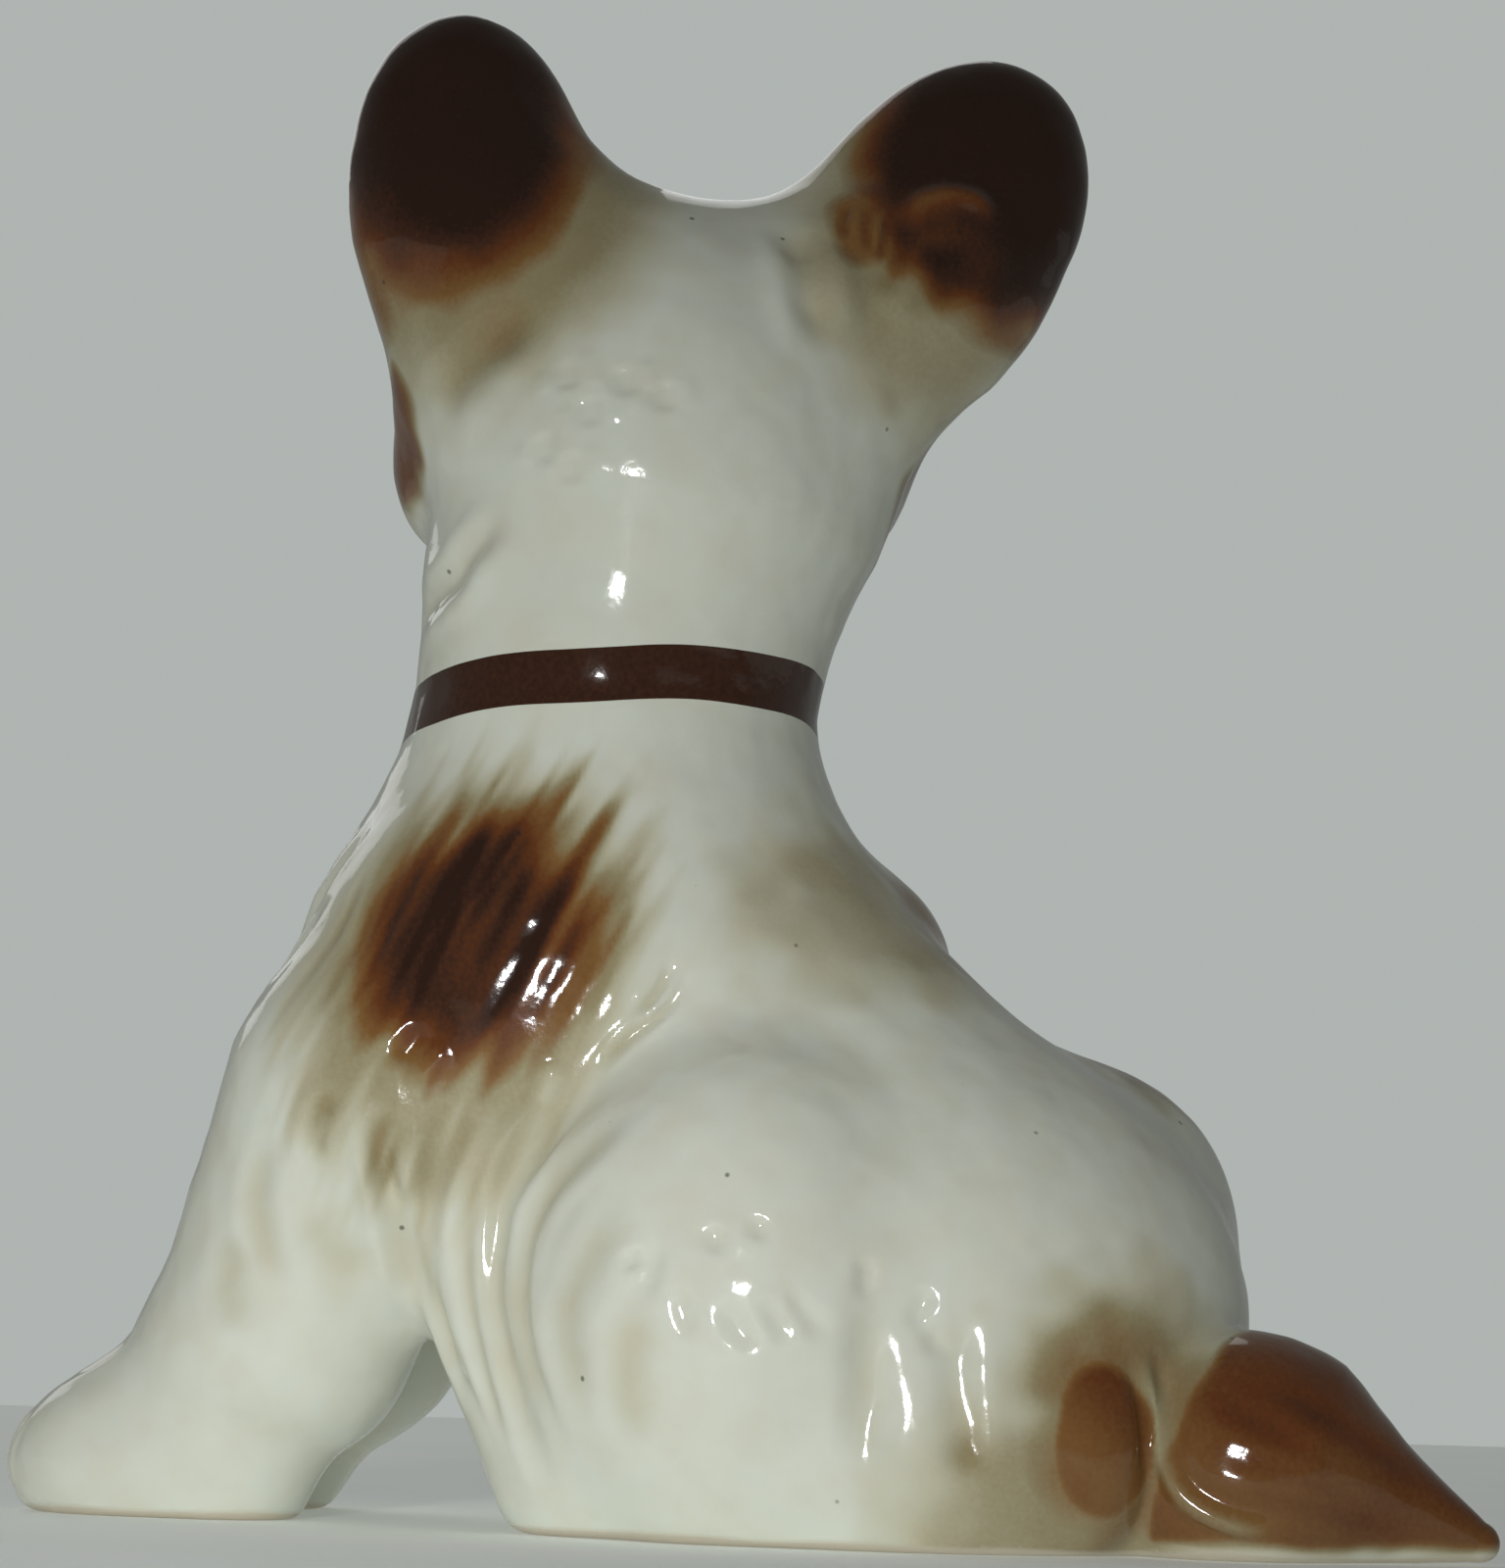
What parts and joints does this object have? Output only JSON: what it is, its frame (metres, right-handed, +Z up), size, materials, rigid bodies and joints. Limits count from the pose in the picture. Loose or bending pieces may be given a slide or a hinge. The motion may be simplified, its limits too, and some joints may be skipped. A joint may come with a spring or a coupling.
{
  "type": "ceramic dog figurine",
  "caption": "Seated long-coated toy dog in glazed ceramic, head turned over its shoulder, upright ears, collar and a tail lying on the ground.",
  "frame": {"origin": "on the underside, in the flat of the seat between the haunches, where the figurine stands", "axes": "+Z up; the body faces -Y; +X is the dog's left side"},
  "size_m": [0.052, 0.1091, 0.1103],
  "materials": {
    "white_glaze": "clear gloss glaze over white slip-cast body, cool greenish white with fine specks",
    "ear_glaze": "airbrushed dark brown under gloss glaze, fading to white at the root",
    "collar_glaze": "hand-painted dark brown band under gloss glaze",
    "tail_glaze": "airbrushed reddish brown under gloss glaze, buff in the grooves",
    "eye_glaze": "black overglaze, high gloss",
    "nose_glaze": "black overglaze, gloss"
  },
  "bodies": {
    "root": {"torso_shell": "white_glaze", "head_shell": "white_glaze", "collar_band": "collar_glaze", "ear_left": "ear_glaze", "ear_right": "ear_glaze", "foreleg_left": "white_glaze", "foreleg_right": "white_glaze", "tail_plume": "tail_glaze", "tail_tuft": "tail_glaze", "eye_left": "eye_glaze", "eye_right": "eye_glaze", "nose": "nose_glaze"}
  },
  "joints": []
}
